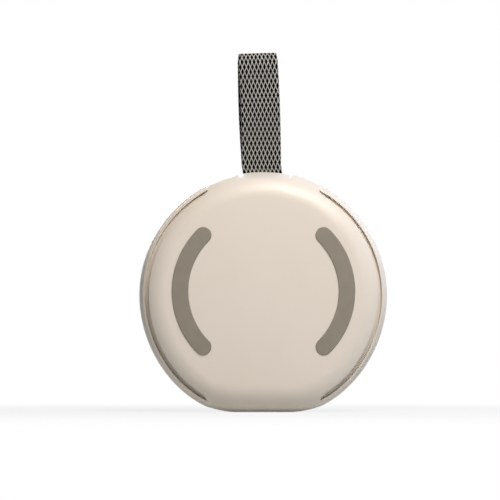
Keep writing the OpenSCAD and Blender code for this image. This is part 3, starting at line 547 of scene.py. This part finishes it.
def strokes(name, lines, node, carrier, closed=()):
    # Each line, in millimetres from the node's middle, is a low round ridge: across it the height
    # follows a half sine, and the last half width of each end is drawn in along a quarter circle.
    # The lines whose numbers are in closed are rings without ends.
    low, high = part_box(node)
    across = np.linspace(-1, 1, 9)
    u = np.concatenate([across, across[::-1]]) * prints["width"] / 2
    up = np.concatenate([np.cos(across * math.pi / 2), 0 * across]) * prints["height"]
    under = np.concatenate([0 * across, 0 * across + prints["sunk"]])
    points, quads, start = [], [], 0
    for number, path in enumerate(lines):
        path = path * mm + ((low.x + high.x) / 2, (low.z + high.z) / 2)
        ring = number in closed
        if ring:
            path = path[:-1]
            tangent = np.roll(path, -1, axis=0) - np.roll(path, 1, axis=0)
            scale = np.ones(len(path))
        else:
            tangent = np.gradient(path, axis=0)
            way = np.concatenate([[0], np.cumsum(np.linalg.norm(np.diff(path, axis=0), axis=1))])
            toEnd = np.minimum(way, way[-1] - way) / (prints["width"] / 2)
            scale = np.sqrt(np.clip(1 - (1 - np.minimum(toEnd, 1)) ** 2, 0, 1))
        tangent = tangent / np.linalg.norm(tangent, axis=1)[:, None]
        normal = np.stack([-tangent[:, 1], tangent[:, 0]], axis=-1)
        flat = path[:, None] + normal[:, None] * (u * scale[:, None])[..., None]
        depth = low.y - up * scale[:, None] + under
        grid = np.stack([flat[..., 0], depth, flat[..., 1]], axis=-1)
        index = start + np.arange(depth.size).reshape(depth.shape)
        quads.append(gridQuads(index, ring, tube=True))
        points.append(grid.reshape(-1, 3))
        start += depth.size
    mesh = bpy.data.meshes.new(name)
    mesh.from_pydata(np.concatenate(points).tolist(), [], np.concatenate(quads).tolist())
    obj = meshObject(name, mesh, carrier, sharp=60)
    return obj


# the signs' lines in millimetres: power, clock, lamp and loudspeaker
icons = dict(
    power=[arc(1.75, 125, 415), line((0, 0.7), (0, 2.3))],
    timer=[arc(1.95, 0, 360), line((0, 1.2), (0, 0), (0.85, -0.5))],
    light=[arc(1.35, -55, 235, middle=(0, 0.45)), line((-0.7, -1.3), (0.7, -1.3)),
           line((-0.45, -2.0), (0.45, -2.0))],
    sound=[line((-2.0, -0.6), (-1.2, -0.6), (-0.1, -1.5), (-0.1, 1.5), (-1.2, 0.6), (-2.0, 0.6),
                (-2.0, -0.6)), arc(1.1, -42, 42, 16), arc(2.0, -42, 42, 20)],
)
closedLines = dict(timer=(0,))      # the clock's rim has no ends
printed = [strokes(key + "Print", lines, key + "_key", key + "_button", closedLines.get(key, ()))
           for key, lines in icons.items()]

dialMiddle = np.array([dialLow.x + dialHigh.x - panelLow.x - panelHigh.x,
                       dialLow.z + dialHigh.z - panelLow.z - panelHigh.z]) / 2 / mm
scaleStart = ((dialHigh.x - dialLow.x) / 2 + prints["dialGap"]) / mm
scaleEnd = scaleStart + prints["tick"] / mm
turns = np.radians(90 + np.linspace(-prints["sweep"], prints["sweep"], prints["ticks"]))
ways = np.stack([np.cos(turns), np.sin(turns)], axis=-1)
scaleLines = [line(dialMiddle + scaleStart * way, dialMiddle + scaleEnd * way) for way in ways]
printed.append(strokes("dialScale", scaleLines, "front_panel", "housing"))
print("prints made")


def addNode(tree, kind, settings=None, **links):
    # Adds a node. Settings are its own properties or its inputs' values, by name or number, and
    # links are the sockets that feed its inputs, by name or as i and a number.
    node = tree.nodes.new(kind)
    for key, value in (settings or {}).items():
        if isinstance(key, str) and hasattr(node, key):
            setattr(node, key, value)
        else:
            node.inputs[key].default_value = value
    for key, socket in links.items():
        tree.links.new(socket, node.inputs[int(key[1:]) if key[1:].isdigit() else key])
    return node


def newMaterial(name, **sockets):
    # An empty material with one Principled BSDF, whose sockets are set by name.
    mat = bpy.data.materials.new(name)
    mat.use_nodes = True
    shader = mat.node_tree.nodes["Principled BSDF"]
    for key, value in sockets.items():
        shader.inputs[key.replace("_", " ")].default_value = value
    return mat, mat.node_tree, shader


def colourNoise(tree, shader, light, dark, size, detail=3.0):
    # Drifts between two shades in patches of a size in metres. Gives the coordinates it used.
    where = addNode(tree, "ShaderNodeTexCoord").outputs["Object"]
    noise = addNode(tree, "ShaderNodeTexNoise", {"Scale": 1 / size, "Detail": detail}, Vector=where)
    shades = {"data_type": "RGBA", 6: linear(light), 7: linear(dark)}
    ramp = addNode(tree, "ShaderNodeMix", shades, i0=noise.outputs["Fac"])
    tree.links.new(ramp.outputs[2], shader.inputs["Base Color"])
    return where


def grain(tree, shader, where, size, height, strength):
    # A fine relief with grains of a size and a height in metres. Gives the grains' own pattern.
    texture = addNode(tree, "ShaderNodeTexNoise", {"Scale": 1 / size, "Detail": 2.0}, Vector=where)
    out = texture.outputs["Fac"]
    bump = addNode(tree, "ShaderNodeBump", {"Strength": strength, "Distance": height}, Height=out)
    tree.links.new(bump.outputs["Normal"], shader.inputs["Normal"])
    return out


def mouldedAbs(name, light, dark, roughness, grainSize=0.32 * mm, height=0.004 * mm):
    # ABS moulded in a finely textured tool: satin, with a faint grain and slow drifts of shade.
    # The real grain is about 0.1 mm and is drawn three times as coarse to show.
    mat, tree, shader = newMaterial(name, Roughness=roughness, IOR=1.53)
    where = colourNoise(tree, shader, light, dark, 34 * mm)
    fine = grain(tree, shader, where, grainSize, height, 0.5)
    limits = {"To Min": roughness - 0.04, "To Max": roughness + 0.05}
    rough = addNode(tree, "ShaderNodeMapRange", limits, Value=fine)
    tree.links.new(rough.outputs["Result"], shader.inputs["Roughness"])
    return mat


def silicone(name, light, dark):
    # Moulded silicone rubber: matt, with a soft highlight and small clouds of shade. The real
    # texture is under 0.1 mm and is drawn at 0.25 mm to show.
    mat, tree, shader = newMaterial(name, Roughness=0.62, IOR=1.42)
    where = colourNoise(tree, shader, light, dark, 6 * mm, 4.0)
    grain(tree, shader, where, 0.25 * mm, 0.006 * mm, 0.6)
    return mat


weave = dict(
    ground="#030303",
    threads=("#A09F9C", "#D0CFCB"),
    cover=(0.64, 0.98),     # levels of the threads' wave between which they cover the ground
    ragged=0.5,             # how uneven their edges are, in those levels
    raggedStretch=(3.0, 1.1, 1.0),      # of the unevenness: longer along the webbing than across
    raggedScale=1.6,        # spots in a millimetre, as are the next two
    twistScale=1.35,
    fibreScale=9.0,
    relief=0.06 * mm,
)


def diamondWebbing(name):
    # Woven polyester webbing: pale diagonal threads over a black ground, each thread with the
    # short slanting lays of its twist, and no gloss. The threads lie where one of two cosines of
    # the crossing diagonals is high. It works on the piece's own map, in millimetres.
    mat, tree, shader = newMaterial(name, Roughness=0.72, IOR=1.5, Specular_IOR_Level=0.05)
    uv = addNode(tree, "ShaderNodeUVMap", {"uv_map": "weave"}).outputs["UV"]
    split = addNode(tree, "ShaderNodeSeparateXYZ", Vector=uv)
    a, b = [
        addNode(tree, "ShaderNodeMath", {"operation": "DIVIDE", 1: webbing[size] / mm},
                i0=split.outputs[axis]).outputs[0]
        for size, axis in (("pitch", "X"), ("rise", "Y"))]
    lines = []
    for sign in ("ADD", "SUBTRACT"):
        run = addNode(tree, "ShaderNodeMath", {"operation": sign}, i0=a, i1=b).outputs[0]
        turn = addNode(tree, "ShaderNodeMath", {"operation": "MULTIPLY", 1: 2 * math.pi}, i0=run)
        wave = addNode(tree, "ShaderNodeMath", {"operation": "COSINE"}, i0=turn.outputs[0])
        lines.append(wave.outputs[0])
    thread = addNode(tree, "ShaderNodeMath", {"operation": "MAXIMUM"}, i0=lines[0], i1=lines[1])
    where = addNode(tree, "ShaderNodeMapping", {"Scale": weave["raggedStretch"]}, Vector=uv)
    uneven = addNode(tree, "ShaderNodeTexNoise", {"Scale": weave["raggedScale"], "Detail": 3.0},
                     Vector=where.outputs[0])
    ragged = addNode(tree, "ShaderNodeMath", {
        "operation": "MULTIPLY_ADD", 1: weave["ragged"], 2: -weave["ragged"] / 2},
        i0=uneven.outputs["Fac"])
    level = addNode(tree, "ShaderNodeMath", {"operation": "ADD"}, i0=thread.outputs[0],
                    i1=ragged.outputs[0]).outputs[0]
    low, high = weave["cover"]
    mask = addNode(tree, "ShaderNodeMapRange", {"From Min": low, "From Max": high}, Value=level)
    twist = addNode(tree, "ShaderNodeTexWave", {
        "Scale": weave["twistScale"], "Distortion": 1.5, "Detail": 1.0}, Vector=uv)
    dull, bright = map(linear, weave["threads"])
    pale = addNode(tree, "ShaderNodeMix", {"data_type": "RGBA", 6: dull, 7: bright},
                   i0=twist.outputs["Fac"])
    cloth = addNode(tree, "ShaderNodeMix", {"data_type": "RGBA", 6: linear(weave["ground"])},
                    i0=mask.outputs[0], i7=pale.outputs[2])
    tree.links.new(cloth.outputs[2], shader.inputs["Base Color"])
    fibre = addNode(tree, "ShaderNodeTexNoise", {"Scale": weave["fibreScale"], "Detail": 3.0},
                    Vector=uv)
    relief = addNode(tree, "ShaderNodeMath", {"operation": "ADD"}, i0=level,
                     i1=fibre.outputs["Fac"])
    bump = addNode(tree, "ShaderNodeBump", {"Strength": 0.6, "Distance": weave["relief"]},
                   Height=relief.outputs[0])
    tree.links.new(bump.outputs["Normal"], shader.inputs["Normal"])
    return mat


def paintedSteel(name, light, dark):
    # Steel with a matt powder coat: an orange peel of about 0.35 mm that breaks up the highlight.
    mat, tree, shader = newMaterial(name, Roughness=0.55, IOR=1.5)
    where = colourNoise(tree, shader, light, dark, 9 * mm)
    grain(tree, shader, where, 0.35 * mm, 0.012 * mm, 0.7)
    return mat


def milkyPlastic(name, light, dark):
    # Opal polycarbonate over the lamps: milky, soft gloss, light passes a little way in. The
    # grain of its mould is drawn a few times as coarse as real to show.
    mat, tree, shader = newMaterial(
        name, Roughness=0.34, IOR=1.58, Subsurface_Weight=0.25, Subsurface_Scale=2 * mm,
        Subsurface_Radius=(1.0, 0.9, 0.8))
    where = colourNoise(tree, shader, light, dark, 12 * mm)
    grain(tree, shader, where, 0.4 * mm, 0.003 * mm, 0.4)
    return mat


def bareMetal(name, light, dark, roughness, size=1.2 * mm):
    # Bare or plated metal: patches of shade, and fine level scratches, each a fourteenth as high
    # as it is long.
    mat, tree, shader = newMaterial(name, Roughness=roughness, Metallic=1.0)
    where = colourNoise(tree, shader, light, dark, 3 * mm)
    stretch = addNode(tree, "ShaderNodeMapping", {"Scale": (1, 1, 14)}, Vector=where).outputs[0]
    grain(tree, shader, stretch, size, 0.006 * mm, 0.5)
    return mat


def plain(name, light, dark, roughness, size=4 * mm, grainSize=0.3 * mm, height=0.01 * mm,
          metallic=0.0):
    # A plain technical surface: two close shades in patches of a size, and a grain that is
    # drawn coarser than real where it would be too fine to show.
    mat, tree, shader = newMaterial(name, Roughness=roughness, Metallic=metallic)
    where = colourNoise(tree, shader, light, dark, size)
    grain(tree, shader, where, grainSize, height, 0.6)
    return mat


slots = {row["node"]: row["material_slot"] for row in frame["record"]["subparts"]}
materials = {
    # warm beige, satin and hardly shaded; the panel a little duller, the keys darker
    "shell_abs": mouldedAbs("mouldedAbsBeige", "#E6DFD5", "#E0D8CD", 0.4),
    "panel_abs": mouldedAbs("mouldedAbsPanel", "#DCD2C6", "#D6CBBE", 0.46),
    "key_abs": mouldedAbs("mouldedAbsKey", "#CDBFAF", "#C6B8A7", 0.42, 0.4 * mm, 0.006 * mm),
    # warm grey and matt
    "grey_silicone": silicone("siliconeGrey", "#938D81", "#857F73"),
    # black and pale diamonds
    "webbing": diamondWebbing("wovenPolyester"),
    # dark warm grey with a broken highlight
    "grille_metal": paintedSteel("powderCoatedSteel", "#45423E", "#3A3834"),
    # warm white, as if lit from inside
    "milky_diffuser": milkyPlastic("opalPolycarbonate", "#F6F2EA", "#EDE7DC"),
    # black open cloth that swallows light
    "speaker_cloth": plain("acousticCloth", "#1D1D1D", "#121212", 0.9, 1 * mm, 0.4 * mm,
                           0.05 * mm),
    # bright grey zinc with soft reflections
    "steel": bareMetal("zincPlatedSteel", "#C9CCCE", "#B2B6B9", 0.32),
    # green lacquer that shows the tracks as a faint unevenness
    "circuit_board": plain("greenSolderMask", "#2F6249", "#28543F", 0.32, 2.5 * mm, 1.2 * mm),
    # white lacquer, to throw the lamps' light back
    "white_board": plain("whiteSolderMask", "#EDEDE8", "#E2E2DC", 0.35, 3 * mm),
    # black resin of chips and switches, half matt
    "black_plastic": plain("mouldedEpoxy", "#222222", "#191919", 0.5),
    # yellow gel over the lamps
    "led_phosphor": plain("siliconePhosphor", "#F5E9A6", "#EBDC8C", 0.4, 1 * mm),
    # black foam with open pores
    "foam": plain("closedCellFoam", "#2E2E2E", "#232323", 0.95, 0.8 * mm, 0.3 * mm, 0.08 * mm),
    # black rubber, smooth and soft
    "black_rubber": plain("butylRubber", "#2A2A2A", "#202020", 0.6, 5 * mm),
    # amber cotton stiffened with resin, dull and rough
    "spider_cloth": plain("resinedCotton", "#CDAE70", "#BC9A5C", 0.85, 1 * mm, 0.4 * mm,
                          0.05 * mm),
    # dark pulp with a thin coat, dull
    "cone_paper": plain("coatedPaper", "#3E3C3A", "#32312F", 0.75, 2 * mm, 0.25 * mm, 0.02 * mm),
    # amber film of the coil former, smooth and shiny
    slots["coil_former"]: plain("polyimideFilm", "#B07C33", "#9C6A26", 0.3),
    # orange copper under clear enamel
    "copper": bareMetal("enamelledCopper", "#C46F36", "#A95A28", 0.3, 0.4 * mm),
    # dark grey ceramic magnet, slightly rough
    "ferrite": plain("sinteredFerrite", "#3A3B3F", "#303136", 0.55, 2 * mm),
    # yellow brass, plated
    "brass": bareMetal("tinnedBrass", "#C5A95C", "#AE9246", 0.35),
    # blue sleeve, smooth
    "capacitor_can": plain("sleevedAluminium", "#41516A", "#37455B", 0.4),
    # cream plastic of the connectors
    "nylon": plain("mouldedNylon", "#EFE9DA", "#E5DECC", 0.5),
    # blue grey foil with a soft metal shine and creases
    "battery_foil": plain("laminatedFoil", "#98ABBD", "#8699AB", 0.35, 6 * mm, 2 * mm, 0.05 * mm,
                          0.6),
    # coloured insulation of the leads, half matt
    "red_wire": plain("redPvc", "#B82C23", "#A6221B", 0.45),
    "black_wire": plain("blackPvc", "#2C2C2C", "#222222", 0.45),
    "ribbon_cable": plain("ribbonPvc", "#DAD5C5", "#CFC9B8", 0.5),
    # white foam tape, dull
    "battery_tape": plain("foamTape", "#F3F3EF", "#E9E9E4", 0.9, 1 * mm),
}
dressed = [(obj, slots[nodeName]) for nodeName, obj in frame["nodes"].items()]
dressed += [(rear, "shell_abs"), (loop, "webbing")]
dressed += [(obj, "grey_silicone") for obj in [padRight, padLeft] + printed]
for obj, slotName in dressed:
    obj.data.materials.clear()
    obj.data.materials.append(materials[slotName])
print("materials made")

studio = dict(
    ambient=0.02,           # strength of the world's own light on the object
    floorSize=4.0,
    floorColours=("#D4D4D3", "#CDCDCC"),
    floorPatch=0.4,         # size of the drifts between them
    shadowReach=(0.08, 0.42),       # distances between which the floor fades to plain white
    nearGlow=0.8,           # how far it is faded near the object, between 0 and 1
)
# the key light falls steeply from behind and above, the window and the edge light come coolly
# from the side at -x, and the face light is for the front
lamps = dict(
    key=dict(spot=(-0.14, 0.38, 0.5), size=0.35, power=3.55, tint="#FFF7EE"),
    window=dict(spot=(-0.9, 0.1, 0.85), size=0.8, power=2.6, tint="#9CC6FF"),
    edge=dict(spot=(-1.0, -0.8, 0.7), size=0.9, power=5.0, tint="#CCE0FF"),
    face=dict(spot=(0.5, -1.6, 0.8), size=1.0, power=14.0, tint="#FFFFFF"),
)


def backgroundRays(tree):
    # 1 for what the camera sees, also in reflections and through clear pieces, otherwise 0: the
    # greatest of three of the light path's marks.
    path = addNode(tree, "ShaderNodeLightPath")
    seen = path.outputs["Is Camera Ray"]
    for kind in ("Is Glossy Ray", "Is Transmission Ray"):
        greater = addNode(tree, "ShaderNodeMath", {"operation": "MAXIMUM"}, i0=seen,
                          i1=path.outputs[kind])
        seen = greater.outputs[0]
    return seen


def makeFloor():
    # A wide pale square. It takes the object's shadow, and to the camera and in reflections most
    # of it glows, so that it meets the white world behind it. The glow's share rises with the
    # distance from the object in a smooth step.
    half = studio["floorSize"] / 2
    mesh = bpy.data.meshes.new("floor")
    corners = [(-half, -half, 0), (half, -half, 0), (half, half, 0), (-half, half, 0)]
    mesh.from_pydata(corners, [], [(0, 1, 2, 3)])
    obj = addToScene("floor", mesh)
    mat, tree, shader = newMaterial("paintedFloor", Roughness=0.9, Specular_IOR_Level=0.0)
    colourNoise(tree, shader, *studio["floorColours"], studio["floorPatch"])
    spot = addNode(tree, "ShaderNodeNewGeometry").outputs["Position"]
    away = addNode(tree, "ShaderNodeVectorMath", {"operation": "LENGTH"}, Vector=spot)
    near, far = studio["shadowReach"]
    share = addNode(tree, "ShaderNodeMapRange", {
        "interpolation_type": "SMOOTHSTEP", "From Min": near, "From Max": far,
        "To Min": studio["nearGlow"], "To Max": 1.0}, Value=away.outputs["Value"])
    part = addNode(tree, "ShaderNodeMath", {"operation": "MULTIPLY"}, i0=backgroundRays(tree),
                   i1=share.outputs["Result"])
    glow = addNode(tree, "ShaderNodeEmission", {"Strength": 1.0})
    mix = addNode(tree, "ShaderNodeMixShader", i0=part.outputs[0], i1=shader.outputs[0],
                  i2=glow.outputs[0])
    tree.links.new(mix.outputs[0], tree.nodes["Material Output"].inputs["Surface"])
    mesh.materials.append(mat)


def makeWorld():
    # White where the camera, reflections or clear pieces see it, and a plain dim fill elsewhere.
    world = bpy.data.worlds.new("studio")
    bpy.context.scene.world = world
    world.use_nodes = True
    tree = world.node_tree
    background = tree.nodes["Background"]
    background.inputs["Color"].default_value = (1, 1, 1, 1)
    strength = addNode(tree, "ShaderNodeMapRange", {"To Min": studio["ambient"], "To Max": 1.0},
                       Value=backgroundRays(tree))
    tree.links.new(strength.outputs[0], background.inputs["Strength"])


def makeLamp(name, spot, size, power, tint):
    # A round lamp that points at the middle of the body.
    data = bpy.data.lights.new(name, "AREA")
    data.shape, data.size, data.energy = "DISK", size, power
    data.color = linear(tint)[:3]
    aimObject(addToScene(name, data), spot, Vector((0, 0, body["middle"])) - Vector(spot))


makeFloor()
makeWorld()
for lampName, spec in lamps.items():
    makeLamp(lampName, **spec)
bpy.context.scene.view_settings.view_transform = "Standard"
print("floor and light made")
